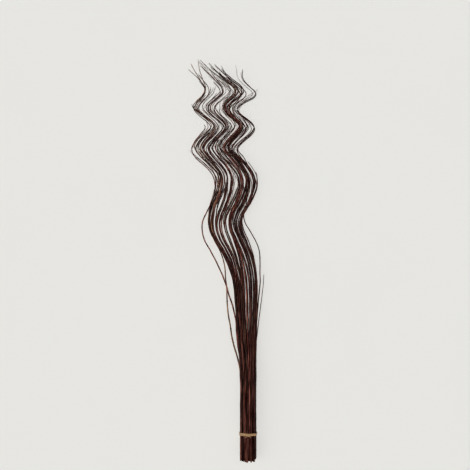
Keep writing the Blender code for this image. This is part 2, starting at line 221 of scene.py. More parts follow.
def tiedPlaces(radii):
    # discs drawn together on a floor until only the tied clearance is left between them
    spacing, pull, pulling, easing, steps = 1.9, 0.012, 450, 0.6, 620
    order = np.arange(len(radii))
    reach = spacing * radii.mean() * np.sqrt(order + 0.5)
    places = np.stack((reach * np.cos(order * goldenAngle), reach * np.sin(order * goldenAngle)), axis=1)
    first, second = np.triu_indices(len(radii), 1)
    need = radii[first] + radii[second] + branch["tiedClearance"]
    for step in range(steps):
        places *= 1 - pull * max(0, 1 - step / pulling)
        apart = places[first] - places[second]
        distance = np.maximum(np.hypot(apart[:, 0], apart[:, 1]), 1e-6)
        push = 0.5 * easing * np.maximum(need - distance, 0) / distance
        for axis in (0, 1):
            places[:, axis] += np.bincount(first, push * apart[:, axis], len(radii))
            places[:, axis] -= np.bincount(second, push * apart[:, axis], len(radii))
        places[:, 1] = np.maximum(places[:, 1], radii - branch["flatUnder"])
    places[:, 0] -= ((places[:, 0] + radii).max() + (places[:, 0] - radii).min()) / 2
    places[:, 1] += branch["flatUnder"] + binding["thickness"] + binding["gap"]
    return places


def mainBranches(draw):
    count = sum(lock["count"] for lock in locks)
    radii = np.array([branch["buttRadius"] * draw.uniform(*branch["buttRange"]) for _ in range(count)])
    tied = tiedPlaces(radii)
    fromLeft = list(np.argsort(tied[:, 0], kind="stable"))
    outermost, jitter, size = bunch["outermost"], bunch["jitter"], bunch["clumpSize"]
    grown = []
    for lock in locks:
        held = lock["count"]
        members, fromLeft = fromLeft[:held], fromLeft[held:]
        fromFloor = sorted(members, key=lambda member: tied[member, 1])
        ranks = draw.sample(range(held), held)
        shared = [[draw.uniform(-reach, reach) for reach in bunch["wander"]] for _ in range(1 + held // size)]
        most = max(1, held - 1)
        for place, member in enumerate(members):
            clump = place // size
            clumpMiddle = min(most, clump * size + (size - 1) / 2)
            grown.append({
                "lock": lock, "place": place, "parent": None, "tied": tied[member],
                "radius": float(radii[member]), "tip": branch["tip"],
                "start": branch["unevenCut"] * draw.random(),
                "end": float(np.interp((ranks[place] + 0.5) / held, branch["shorterShare"], branch["lengths"])),
                "side": -outermost + 2 * outermost * (
                    (1 - bunch["clumped"]) * (place + draw.uniform(-jitter, jitter))
                    + bunch["clumped"] * clumpMiddle) / most,
                "level": fromFloor.index(member) / most,
                "wander": [
                    bunch["ownWander"] * draw.uniform(-reach, reach) + bunch["sharedWander"] * group
                    for reach, group in zip(bunch["wander"], shared[clump])],
                "step": draw.gauss(0, bunch["outOfStep"]),
                "curl": draw.uniform(*branch["tipCurl"]),
                "rise": max(0.0, draw.uniform(*branch["tipRise"])),
                "stray": strays.get((lock["name"], place))})
    return grown


def sideTwigs(branches, draw):
    twigs = []
    low = twig["low"]
    for number, parent in enumerate(branches):
        if (parent["lock"]["name"], parent["place"]) == (low["lock"], low["place"]):
            twigs.append({**low, "parent": number, "tip": twig["tip"]})
    firstStart, lastStart = twig["starts"]
    shortest, longest = twig["lengths"]
    forked = [number for number, parent in enumerate(branches) if parent["end"] > firstStart + 2 * shortest]
    for number in draw.sample(forked, twig["count"]):
        parent = branches[number]
        starts = [s for s in stations if firstStart <= s <= min(lastStart, parent["end"] - shortest)]
        start = float(draw.choice(starts))
        inward = parent["lock"]["inward"] or draw.choice((-1, 1))
        twigs.append({
            "parent": number, "start": start, "end": min(start + draw.uniform(shortest, longest), bunch["length"]),
            "out": inward * draw.uniform(*twig["out"]), "rise": draw.uniform(*twig["rise"]),
            "radius": twig["size"] * float(radiusAlong(parent, start)), "tip": twig["tip"]})
    return twigs


def branchRoute(strand, at):
    # across and above, with nothing in its way
    lock = strand["lock"]
    opened = eased((at - bunch["heldLength"]) / bunch["looseLength"])
    place = strand["side"] + smoothThrough(bunch["wanderAlong"], strand["wander"], at)
    across = smoothThrough(bunch["waveAlong"], lock["wave"], at + strand["step"] * opened)
    across = across + place * smoothThrough(bunch["widthAlong"], lock["halfWidth"], at)
    if strand["stray"]:
        across = across + smoothThrough(*strand["stray"], at)
    above = flatShare * radiusAlong(strand, at)
    above = above + strand["level"] * smoothThrough(bunch["depthAlong"], lock["depth"], at)
    nearTip = np.clip((at - strand["end"] + branch["tipStretch"]) / branch["tipStretch"], 0, 1.3) ** 2
    return np.stack((
        strand["tied"][0] * (1 - opened) + across * opened + strand["curl"] * nearTip,
        strand["tied"][1] * (1 - opened) + above * opened + strand["rise"] * nearTip), axis=-1)


def twigRoute(strand, branches, at):
    grown = np.clip((at - strand["start"]) / (strand["end"] - strand["start"]), 0, 1.4) ** 1.2
    return branchRoute(branches[strand["parent"]], at) + grown[:, None] * np.array((strand["out"], strand["rise"]))


def wantedRoute(strand, branches, at):
    return branchRoute(strand, at) if strand["parent"] is None else twigRoute(strand, branches, at)


def settledDrift(branches, twigs):
    # how far each strand has moved at each station, once it lies on the floor or beside its neighbours
    strands = branches + twigs
    count, rowsOfAll = len(strands), len(stations)
    wanted = np.stack([wantedRoute(strand, branches, stations) for strand in strands], axis=1)
    radii = np.stack([radiusAlong(strand, stations) for strand in strands], axis=1)
    held = stations <= bunch["heldLength"]

    tests = settling["testsALength"]
    low = np.append(np.repeat(np.arange(rowsOfAll - 1), tests), rowsOfAll - 2)
    share = np.append(np.tile(np.arange(tests) / tests, rowsOfAll - 1), 1.0)
    near, far = (1 - share)[:, None], share[:, None]
    along = stations[low] * near[:, 0] + stations[low + 1] * far[:, 0]
    thick = radii[low] * near + radii[low + 1] * far
    slope = np.diff(wanted[..., 0], axis=0) / np.diff(stations)[:, None]

    own = np.array([number if s["parent"] is None else s["parent"] for number, s in enumerate(strands)])
    starts = np.array([0 if s["parent"] is None else s["start"] for s in strands])
    ends = np.array([s["end"] for s in strands])
    there = (along[:, None] >= starts) & (along[:, None] <= ends + settling["pastTip"])
    one, other = np.triu_indices(count, 1)
    pastFork = along[:, None] > np.maximum(starts[one], starts[other]) + settling["pastFork"]
    tested = there[:, one] & there[:, other] & ((own[one] != own[other]) | pastFork)

    places = wanted.copy()
    for step in range(settling["steps"]):
        calm = step >= settling["steps"] - settling["calmSteps"]
        drift = (places - wanted) * (1 if calm else settling["drawBack"])
        bend = np.zeros_like(drift)
        bend[1:-1] = drift[:-2] + drift[2:] - 2 * drift[1:-1]
        bend[-1] = drift[-2] - drift[-1]
        places = wanted + drift + settling["calmSpring" if calm else "spring"] * bend
        rows = places[low] * near[:, :, None] + places[low + 1] * far[:, :, None]
        if step % settling["lookAgain"] == 0:
            gap = np.abs(rows[:, one] - rows[:, other])
            reach = thick[:, one] + thick[:, other] + settling["lookRound"]
            row, pair = np.nonzero(tested & (gap < reach[..., None]).all(axis=-1))
            a, b = one[pair], other[pair]
            upright = 1 / np.hypot(1, (slope[low[row], a] + slope[low[row], b]) / 2)
            need = thick[row, a] + thick[row, b] + branch["clearance"]
            before, after = near[row, 0], far[row, 0]
            spread = before ** 2 + after ** 2
            targets = np.concatenate([(low[row] + k) * count + strand for strand in (a, b) for k in (0, 1)])
            weights = np.concatenate((before / spread, after / spread))
        across = (rows[row, a, 0] - rows[row, b, 0]) * upright
        above = rows[row, a, 1] - rows[row, b, 1]
        distance = np.maximum(np.hypot(across, above), 1e-6)
        push = 0.5 * np.maximum(need - distance, 0) / distance
        moves = (settling["sideEase"] * push * across / upright, settling["liftEase"] * push * above)
        for axis, move in enumerate(moves):
            shared = weights * np.tile(move, 2)
            total = np.bincount(targets, np.concatenate((shared, -shared)), rowsOfAll * count)
            places[..., axis] += total.reshape(rowsOfAll, count)
        places[..., 1] = np.maximum(places[..., 1], flatShare * radii)
        places[held] = wanted[held]
        for number, offshoot in enumerate(twigs, len(branches)):
            joined = stations <= offshoot["start"]
            places[joined, number] = places[joined, offshoot["parent"]]
    return places - wanted


draw = random.Random(bunch["seed"])
branches = mainBranches(draw)
twigs = sideTwigs(branches, draw)
strands = branches + twigs
drift = settledDrift(branches, twigs)
print("settled:", len(branches), "branches,", len(twigs), "twigs")


def tieLoop(offset, directions):
    # the outermost points of the tied bundle in every direction, the offset clear of it
    angles = -math.pi / 2 + 2 * math.pi * np.arange(directions) / directions
    outward = np.stack((np.cos(angles), np.sin(angles)), axis=1)
    middles = np.array([b["tied"] for b in branches])
    radii = np.array([b["radius"] for b in branches])
    widest = (middles @ outward.T + radii[:, None]).argmax(axis=0)
    points = middles[widest] + outward * (radii[widest] + offset)[:, None]
    underside = binding["thickness"] + binding["gap"] - offset
    points[:, 1] = np.where(points[:, 1] > underside + binding["flattened"], points[:, 1], underside)
    return points


# The bunch's own place in the frame, taken from the binding's solid.
tieLow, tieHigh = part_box("binding")
tieOutline = tieLoop(binding["gap"] + binding["thickness"], 48)
tieMiddle = (tieOutline[:, 0].min() + tieOutline[:, 0].max()) / 2
origin = np.array((
    tieMiddle - (tieLow.x + tieHigh.x) / 2 / mm,
    binding["along"] - (tieLow.y + tieHigh.y) / 2 / mm, 0.0))


# Shader groups: what the barks, the cut wood and the twine share.
def newGroup(name, inputs, outputs):
    group = bpy.data.node_groups.new(name, "ShaderNodeTree")
    for label, kind, value in inputs:
        group.interface.new_socket(label, in_out="INPUT", socket_type=kind).default_value = value
    for label, kind in outputs:
        group.interface.new_socket(label, in_out="OUTPUT", socket_type=kind)
    return group, group.nodes.new("NodeGroupInput"), group.nodes.new("NodeGroupOutput")


def addNode(tree, kind, **values):
    node = tree.nodes.new(kind)
    for key, value in values.items():
        if hasattr(node, key):
            setattr(node, key, value)
        else:
            node.inputs[key].default_value = value
    return node


def addMath(tree, operation, first, second=None, clamp=False):
    node = tree.nodes.new("ShaderNodeMath")
    node.operation = operation
    node.use_clamp = clamp
    for socket, value in zip(node.inputs, (first, second)):
        if isinstance(value, (int, float)):
            socket.default_value = value
        elif value is not None:
            tree.links.new(value, socket)
    return node.outputs[0]


def addTimes(tree, first, second):
    return addMath(tree, "MULTIPLY", first, second)


def addRamp(tree, factor, stops):
    node = tree.nodes.new("ShaderNodeValToRGB")
    ramp = node.color_ramp
    while len(ramp.elements) < len(stops):
        ramp.elements.new(0.5)
    for element, (position, colour) in zip(ramp.elements, stops):
        element.position = position
        element.color = (*colour, 1)
    tree.links.new(factor, node.inputs["Fac"])
    return node.outputs["Color"]


def addMix(tree, factor, first, second, blend="MIX"):
    node = tree.nodes.new("ShaderNodeMix")
    node.data_type = "RGBA"
    node.blend_type = blend
    sockets = (node.inputs["Factor"], node.inputs[6], node.inputs[7])
    for socket, value in zip(sockets, (factor, first, second)):
        if isinstance(value, (int, float)):
            socket.default_value = value
        elif isinstance(value, tuple):
            socket.default_value = (*value, 1)
        else:
            tree.links.new(value, socket)
    return node.outputs[2]


def addBump(tree, shader, height, strength, distance):
    # the distance is in mm
    bump = addNode(tree, "ShaderNodeBump", Strength=strength)
    bump.inputs["Distance"].default_value = distance * mm
    tree.links.new(height, bump.inputs["Height"])
    tree.links.new(bump.outputs[0], shader.inputs["Normal"])


def roundStemGroup():
    # turns a strand's own UV map into places on a round stem, so that no pattern shows a seam
    group, given, made = newGroup(
        "roundStem",
        [("Across", "NodeSocketFloat", 3.0), ("Along", "NodeSocketFloat", 60.0), ("Twist", "NodeSocketFloat", 0.0)],
        [("Vector", "NodeSocketVector")])
    uv = addNode(group, "ShaderNodeUVMap", uv_map="strandMap")
    split = addNode(group, "ShaderNodeSeparateXYZ")
    group.links.new(uv.outputs[0], split.inputs[0])
    twisted = addMath(group, "ADD", split.outputs["X"], addTimes(group, split.outputs["Y"], given.outputs["Twist"]))
    turn = addTimes(group, twisted, 2 * math.pi)
    join = addNode(group, "ShaderNodeCombineXYZ")
    for axis, swing in (("X", "COSINE"), ("Y", "SINE")):
        group.links.new(addTimes(group, addMath(group, swing, turn), given.outputs["Across"]), join.inputs[axis])
    group.links.new(addTimes(group, split.outputs["Y"], given.outputs["Along"]), join.inputs["Z"])
    group.links.new(join.outputs[0], made.inputs["Vector"])
    return group


def barkGrainGroup(roundStem):
    # lengthwise streaks, slow patches, pale pores and the height they make
    group, given, made = newGroup(
        "barkGrain",
        [("Streak Width", "NodeSocketFloat", 3.0), ("Patch Size", "NodeSocketFloat", 1.0),
         ("Pores", "NodeSocketFloat", 0.5)],
        [("Streaks", "NodeSocketFloat"), ("Patches", "NodeSocketFloat"), ("Pores", "NodeSocketFloat"),
         ("Height", "NodeSocketFloat")])
    streakPlace = addNode(group, "ShaderNodeGroup", node_tree=roundStem, Along=45.0)
    group.links.new(given.outputs["Streak Width"], streakPlace.inputs["Across"])
    streakNoise = addNode(group, "ShaderNodeTexNoise", Scale=1.0, Detail=5.0, Roughness=0.62)
    group.links.new(streakPlace.outputs[0], streakNoise.inputs["Vector"])
    streaks = addRamp(group, streakNoise.outputs["Fac"], ((0.36, (0, 0, 0)), (0.66, (1, 1, 1))))

    place = addNode(group, "ShaderNodeTexCoord")
    scaled = addNode(group, "ShaderNodeMapping", vector_type="POINT")
    scaled.inputs["Scale"].default_value = (170.0, 14.0, 170.0)
    group.links.new(place.outputs["Object"], scaled.inputs["Vector"])
    patchNoise = addNode(group, "ShaderNodeTexNoise", Detail=3.0, Roughness=0.55)
    group.links.new(scaled.outputs[0], patchNoise.inputs["Vector"])
    group.links.new(given.outputs["Patch Size"], patchNoise.inputs["Scale"])
    patches = addRamp(group, patchNoise.outputs["Fac"], ((0.44, (0, 0, 0)), (0.62, (1, 1, 1))))

    dotPlace = addNode(group, "ShaderNodeGroup", node_tree=roundStem, Across=1.3, Along=230.0)
    cells = addNode(group, "ShaderNodeTexVoronoi", Scale=1.0, Randomness=1.0)
    group.links.new(dotPlace.outputs[0], cells.inputs["Vector"])
    dots = addRamp(group, cells.outputs["Distance"], ((0.10, (1, 1, 1)), (0.20, (0, 0, 0))))
    pores = addTimes(group, dots, given.outputs["Pores"])

    height = addMath(group, "ADD", addTimes(group, streaks, 0.7), addTimes(group, pores, 0.6))
    for socket, value in zip(made.inputs, (streaks, patches, pores, height)):
        group.links.new(value, socket)
    return group


def newMaterial(name, roughness):
    material = bpy.data.materials.new(name)
    material.use_nodes = True
    shader = material.node_tree.nodes["Principled BSDF"]
    shader.inputs["Roughness"].default_value = roughness
    return material, material.node_tree, shader


# Each bark's worn colour is lighter rubbed bark, made bright enough to serve also as painted glints of light along the
# stems.
barks = {
    "dark": {
        "count": 27, "low": (0.011, 0.003, 0.0026), "high": (0.066, 0.02, 0.0165), "wearAndPaintedGlint": (0.25, 0.135, 0.112)},
    "russet": {
        "count": 20, "low": (0.021, 0.0056, 0.0043), "high": (0.12, 0.037, 0.0285), "wearAndPaintedGlint": (0.34, 0.195, 0.16)},
    "olive": {
        "count": 8, "low": (0.023, 0.0105, 0.0072), "high": (0.11, 0.06, 0.039), "wearAndPaintedGlint": (0.33, 0.24, 0.175)},
}


def barkMaterial(name, tone, grainGroup):
    material, tree, shader = newMaterial(name, 0.4)
    grain = addNode(tree, "ShaderNodeGroup", node_tree=grainGroup, **{"Streak Width": 3.2, "Patch Size": 1.0})
    shade = addNode(tree, "ShaderNodeAttribute", attribute_name="shade")
    age = addNode(tree, "ShaderNodeAttribute", attribute_name="age")
    body = addMix(tree, grain.outputs["Streaks"], tone["low"], tone["high"])
    # pale patches: partly real wear, partly painted glints and highlights along the stems
    wearAndPaintedGlint = addTimes(tree, grain.outputs["Patches"], 0.65)
    body = addMix(tree, wearAndPaintedGlint, body, tone["wearAndPaintedGlint"])
    body = addMix(tree, addTimes(tree, grain.outputs["Pores"], 0.55), body, (0.33, 0.22, 0.13))
    # painted shade: the stems darker towards the cut ends, where the bunch is crowded, brightest halfway up and a
    # little cooler at the tips
    tipTintAndPaintedBaseShade = addRamp(tree, age.outputs["Fac"], (
        (0.0, (0.85, 0.87, 0.87)), (0.2, (0.95, 0.97, 0.98)), (0.4, (1.2, 1.22, 1.24)), (1.0, (1.0, 1.08, 1.12))))
    body = addMix(tree, 1.0, body, tipTintAndPaintedBaseShade, "MULTIPLY")
    # each branch's own random tone, with painted shade darkening the branches on the right of the bunch
    ownToneAndPaintedShade = addRamp(tree, shade.outputs["Fac"], (
        (0.0, (0.42, 0.38, 0.37)), (0.5, (0.9, 0.86, 0.85)), (1.0, (1.9, 1.75, 1.7))))
    body = addMix(tree, 1.0, body, ownToneAndPaintedShade, "MULTIPLY")
    tree.links.new(body, shader.inputs["Base Color"])
    rough = addMath(tree, "ADD", addTimes(tree, grain.outputs["Patches"], 0.22), 0.30)
    tree.links.new(rough, shader.inputs["Roughness"])
    addBump(tree, shader, grain.outputs["Height"], 0.35, 0.15)
    shader.inputs["Specular IOR Level"].default_value = 0.2
    return material


def cutWoodMaterial():
    # pale sapwood with rings round a brown pith, on the cut's own map: its middle is at (0.5, 0.5)
    material, tree, shader = newMaterial("willowCutWood", 0.75)
    uv = addNode(tree, "ShaderNodeUVMap", uv_map="strandMap")
    away = addNode(tree, "ShaderNodeVectorMath", operation="DISTANCE")
    tree.links.new(uv.outputs[0], away.inputs[0])
    away.inputs[1].default_value = (0.5, 0.5, 0.0)
    base = addRamp(tree, away.outputs["Value"], (
        (0.0, (0.22, 0.12, 0.07)), (0.07, (0.28, 0.15, 0.09)), (0.10, (0.74, 0.56, 0.38)), (0.40, (0.82, 0.66, 0.47)),
        (0.47, (0.42, 0.24, 0.14))))
    rings = addMath(tree, "SINE", addTimes(tree, away.outputs["Value"], 70.0))
    stain = addNode(tree, "ShaderNodeTexNoise", Scale=9.0, Detail=4.0)
    tree.links.new(uv.outputs[0], stain.inputs["Vector"])
    mask = addMath(tree, "MULTIPLY", addMath(tree, "ADD", rings, stain.outputs["Fac"]), 0.22, clamp=True)
    tree.links.new(addMix(tree, mask, base, (0.36, 0.22, 0.13)), shader.inputs["Base Color"])
    addBump(tree, shader, rings, 0.4, 0.1)
    return material


def twineMaterial(roundStem):
    material, tree, shader = newMaterial("twine", 0.9)
    twist = 1 / (binding["plyTwist"] * mm)
    fibres = addNode(tree, "ShaderNodeGroup", node_tree=roundStem, Across=5.0, Along=220.0, Twist=twist)
    noise = addNode(tree, "ShaderNodeTexNoise", Scale=1.0, Detail=6.0, Roughness=0.7)
    tree.links.new(fibres.outputs[0], noise.inputs["Vector"])
    colour = addRamp(tree, noise.outputs["Fac"], (
        (0.25, (0.24, 0.15, 0.09)), (0.5, (0.56, 0.41, 0.26)), (0.75, (0.80, 0.66, 0.46))))
    tree.links.new(colour, shader.inputs["Base Color"])
    addBump(tree, shader, noise.outputs["Fac"], 0.6, 0.2)
    shader.inputs["Sheen Weight"].default_value = 0.25
    return material


roundStem = roundStemGroup()
barkGrain = barkGrainGroup(roundStem)
barkMaterials = {name: barkMaterial(f"willowBark{name.capitalize()}", tone, barkGrain) for name, tone in barks.items()}
cutWood = cutWoodMaterial()
twine = twineMaterial(roundStem)
print("materials made")


# Strands in fine detail. Every strand is a grid rolled into a tube along its route.
fine = {
    "branchSides": 10,
    "twigSides": 7,
    "shootSides": 5,
    "roundShare": (0.93, 0.79),  # of the plain solid's radius, at the cut and at the tips
    "ringStep": 7.0,
    "ringGap": 0.4,  # no two rings are closer
    "tipRings": (1.6, 0.7),  # before the end
    "nodeFirst": (18, 50),  # from the strand's start
    "nodeGap": (26.0, 56.0),
    "nodeLast": 12,  # before its end
    "nodeRings": (-5.0, -2.0, 0.0, 2.0, 5.0),
    "nodeRingsOff": (6, 4),  # these rings keep this far from the start and the end
    "nodeSwell": 0.14,
    "nodeReach": 2.4,
    "nodeTurn": 0.26,  # how far the stem steps aside at a growth node
    "turnFrom": 10,
    "turnOver": 60,
    "uneven": 0.04,
    "unevenStep": 23,
    "sway": 0.55,
    "swayFrom": 60,
    "swayOver": 260,
    "swayWaves": ((47.0, 38.0, 61.0, 0.0), (71.0, -55.0, 90.0, 2.1), (113.0, 90.0, -70.0, 4.2)),
    "forkSwell": 0.6,
    "forkReach": 5.0,
    "offFloor": 0.05,
    "tipRounding": 3.0,
    "tipLeast": 0.12,
    "cutSlope": 0.55,
    "barkRim": 0.16,
}

shoot = {
    "aBranch": 3,  # how many are begun on each branch
    "aTwig": 1,
    "thinnest": 0.8,  # a stem with a smaller radius carries none
    "starts": (790.0, 1290.0),
    "short": {"lengths": (35.0, 120.0), "out": (5.0, 20.0), "rise": (1.0, 14.0), "hook": (-10.0, 10.0)},
    "long": {"lengths": (110.0, 260.0), "out": (22.0, 64.0), "rise": (4.0, 24.0), "hook": (-24.0, 24.0)},
    "longShare": 0.75,
    "shortest": 30,
    "pastParent": 18,
    "pastBunch": 6,
    "radius": 1.05,
    "shareOfStem": 0.85,  # of its stem's radius, at most
    "tip": 0.55,
    "outPower": 1.2,
    "hookPower": 3,
    "risePower": 1.1,
    "testStep": 6.0,  # from one tested place to the next
    "testFrom": 16,  # nothing nearer to the fork is tested
    "apart": 0.15,
    "highest": 58.0,
    "room": 8.0,
    "outerFrom": 0.4,
    "neighbours": 3.2,  # as many others, at most, lie within that room of its outer part
    "beyondEdge": 9.0,
    "tries": 12,
}

bud = {
    "around": 6,
    "rows": 5,
    "length": (2.6, 4.0),
    "width": 0.36,  # of the stem's radius there, but not under smallest
    "smallest": 0.45,
    "slim": 0.5,
    "flat": 0.7,
    "ahead": 0.5,
    "lean": 0.16,
    "thinStem": 1.2,  # on a smaller radius than this it is shorter
    "shorter": 0.6,
    "sunk": 0.94,  # its middle's distance from the stem's, in radii
    "offFloor": 1.5,  # a stem nearer to the floor than this has none underneath
    "every": 2.39996,  # radians round the stem from one to the next
}

# Each branch's shade: a random tone of its own, darker at nodes and buds, and painted shade that darkens the branches
# lying further to the right, as if lit from the left.
shading = {
    "readAt": 450,  # how far along a branch's side of the bunch is read
    "middle": 0.5,
    "paintedShadeToTheRight": 0.22,
    "own": 0.5,
    "nodeDarker": 0.16,
    "nodeReach": 2.0,
    "budDarker": 0.1,
}


def swayAt(across, along, above):
    # a slow drift to the side that neighbours share
    total = 0
    for alongWave, acrossWave, aboveWave, phase in fine["swayWaves"]:
        total = total + np.sin(2 * math.pi * (along / alongWave + across / acrossWave + above / aboveWave) + phase)
    grown = eased((along - fine["swayFrom"]) / fine["swayOver"])
    return fine["sway"] * grown * total / len(fine["swayWaves"])


def growthNodes(start, end, chance):
    found = []
    at = start + chance.uniform(*fine["nodeFirst"])
    while at < end - fine["nodeLast"]:
        found.append(at)
        at += chance.uniform(*fine["nodeGap"])
    return found


def ringPlaces(start, end, nodes):
    evenly = np.linspace(start, end, int((end - start) / fine["ringStep"]) + 2)
    around = (np.array(nodes)[:, None] + np.array(fine["nodeRings"])).ravel() if len(nodes) else np.zeros(0)
    offStart, offEnd = fine["nodeRingsOff"]
    around = around[(around > start + offStart) & (around < end - offEnd)]
    nearTip = [end - before for before in fine["tipRings"]]
    along = np.unique(np.concatenate((evenly, around, nearTip)).round(3))
    return along[np.append(True, np.diff(along) > fine["ringGap"])]


def thickened(radii, along, start, end, nodes, forked, chance):
    knots = np.linspace(start, end, max(4, int((end - start) / fine["unevenStep"])))
    thick = 1 + smoothThrough(knots, [chance.uniform(-1, 1) * fine["uneven"] for _ in knots], along)
    for node in nodes:
        thick += fine["nodeSwell"] * np.exp(-((along - node) / fine["nodeReach"]) ** 2)
    if forked:
        thick += fine["forkSwell"] * np.exp(-(along - start) / fine["forkReach"])
    thick *= np.sqrt(np.clip((end - along) / fine["tipRounding"], fine["tipLeast"], 1))
    return radii * thick


def fineStrand(number, chance):
    # a strand's middle line, its radii and its growth nodes, all in mm
    strand = strands[number]
    start, end = strand["start"], strand["end"]
    nodes = growthNodes(start, end, chance)
    along = ringPlaces(start, end, nodes)
    route = wantedRoute(strand, branches, along)
    for axis in (0, 1):
        route[:, axis] += smoothThrough(stations, drift[:, number, axis], along)
    radii = radiusAlong(strand, along) * np.interp(along, (0, bunch["length"]), fine["roundShare"])
    route[:, 1] += (1 - flatShare) * radii
    route[:, 0] += swayAt(route[:, 0], along, route[:, 1])
    knots = [start, *nodes, end]
    if len(knots) > 3:
        turns = [chance.uniform(-1, 1) * fine["nodeTurn"] for _ in knots]
        free = eased((along - start - fine["turnFrom"]) / fine["turnOver"])
        route[:, 0] += free * np.interp(along, knots, turns)
        route[:, 1] += free * np.abs(np.interp(along, knots, turns[::-1]))
    radii = thickened(radii, along, start, end, nodes, strand["parent"] is not None, chance)
    above = np.maximum(route[:, 1], radii + fine["offFloor"])
    return {"along": along, "across": route[:, 0], "above": above, "radii": radii, "nodes": nodes}


def grownShoot(parent, start, chance):
    # one shoot on its way from the fork, not yet thickened, or None where it would be too short
    kind = shoot["long" if chance.random() < shoot["longShare"] else "short"]
    parentEnd = parent["along"][-1]
    furthest = min(parentEnd + shoot["pastParent"], bunch["length"] + shoot["pastBunch"])
    end = min(start + chance.uniform(*kind["lengths"]), furthest)
    side = chance.choice((-1, 1)) * chance.uniform(*kind["out"])
    rise, hook = chance.uniform(*kind["rise"]), chance.uniform(*kind["hook"])
    if end - start < shoot["shortest"]:
        return None
    nodes = growthNodes(start, end, chance)
    along = ringPlaces(start, end, nodes)
    share = np.clip((along - start) / (end - start), 0, 1)
    reach = (end - start) / kind["lengths"][1]
    across = np.interp(along, parent["along"], parent["across"])
    beyond = np.clip(along - parentEnd, 0, None)
    lean = (parent["across"][-1] - parent["across"][-4]) / (parent["along"][-1] - parent["along"][-4])
    outward = side * share ** shoot["outPower"] + hook * share ** shoot["hookPower"]
    across = across + lean * beyond + reach * outward
    above = np.interp(along, parent["along"], parent["above"]) + reach * rise * share ** shoot["risePower"]
    atFork = np.interp(start, parent["along"], parent["radii"])
    radii = min(shoot["radius"], shoot["shareOfStem"] * atFork) * (1 - (1 - shoot["tip"]) * share)
    above = np.maximum(above, radii)
    return {"along": along, "across": across, "above": above, "radii": radii, "nodes": nodes, "end": end}


def addShoots(fineStrands, chance):
    # thin shoots in the upper half, kept where a coarse test finds them in a bare place and clear of the others
    rows = np.arange(0, bunch["length"] + 1, shoot["testStep"])
    grown = []

    def onRows(one):
        keys = ("across", "above", "radii")
        return np.stack([np.interp(rows, one["along"], one[key], left=np.nan, right=np.nan) for key in keys])

    taken = np.array([onRows(one) for one in fineStrands])
    slopes = np.gradient(taken[:, 0], rows, axis=1)
    there, far = np.isfinite(taken[:, 0]), 999.0
    filled = there.any(axis=0)
    leftmost = np.where(filled, np.where(there, taken[:, 0], far).min(axis=0), -far) - shoot["beyondEdge"]
    rightmost = np.where(filled, np.where(there, taken[:, 0], -far).max(axis=0), far) + shoot["beyondEdge"]
    first, last = shoot["starts"]
    for number, parent in enumerate(fineStrands):
        thick = np.interp(parent["nodes"], parent["along"], parent["radii"])
        forks = [
            node for node, radius in zip(parent["nodes"], thick)
            if first <= node <= last and radius > shoot["thinnest"]]
        begun = shoot["aBranch"] if number < len(branches) else shoot["aTwig"]
        for _ in range(begun if forks else 0):
            start = chance.choice(forks)
            for _ in range(shoot["tries"]):
                made = grownShoot(parent, start, chance)
                if made is None:
                    continue
                end = made["end"]
                line = onRows(made)
                line[:, rows < start + shoot["testFrom"]] = np.nan
                slope = np.gradient(line[0], rows)
                upright = 1 / np.hypot(1, (slope + slopes) / 2)
                apart = np.hypot((line[0] - taken[:, 0]) * upright, line[1] - taken[:, 1]) - line[2] - taken[:, 2]
                outer = (rows > start + shoot["outerFrom"] * (end - start)) & (rows < end)
                crowd = (np.abs(line[0] - taken[:, 0]) < shoot["room"]).sum(axis=0)[outer].mean()
                outside = (line[0] < leftmost) | (line[0] > rightmost)
                if np.nanmin(np.append(apart, far)) < shoot["apart"] or crowd > shoot["neighbours"]:
                    continue
                if outside.any() or made["above"].max() > shoot["highest"]:
                    continue
                made["radii"] = thickened(made["radii"], made["along"], start, end, made["nodes"], True, chance)
                made["above"] = np.maximum(made["above"], made["radii"] + fine["offFloor"])
                made["branch"] = number if number < len(branches) else strands[number]["parent"]
                grown.append(made)
                taken = np.append(taken, line[None], axis=0)
                slopes = np.append(slopes, slope[None], axis=0)
                break
    return grown


def alongFrames(route, first):
    # the direction ahead and two directions across it, carried along without twisting
    ahead = np.gradient(route, axis=0)
    ahead /= np.linalg.norm(ahead, axis=1)[:, None]
    upwards = np.empty_like(ahead)
    current = np.asarray(first, float)
    for row, direction in enumerate(ahead):
        current = current - direction * (current @ direction)
        current = current / np.linalg.norm(current)
        upwards[row] = current
    return ahead, np.cross(ahead, upwards), upwards


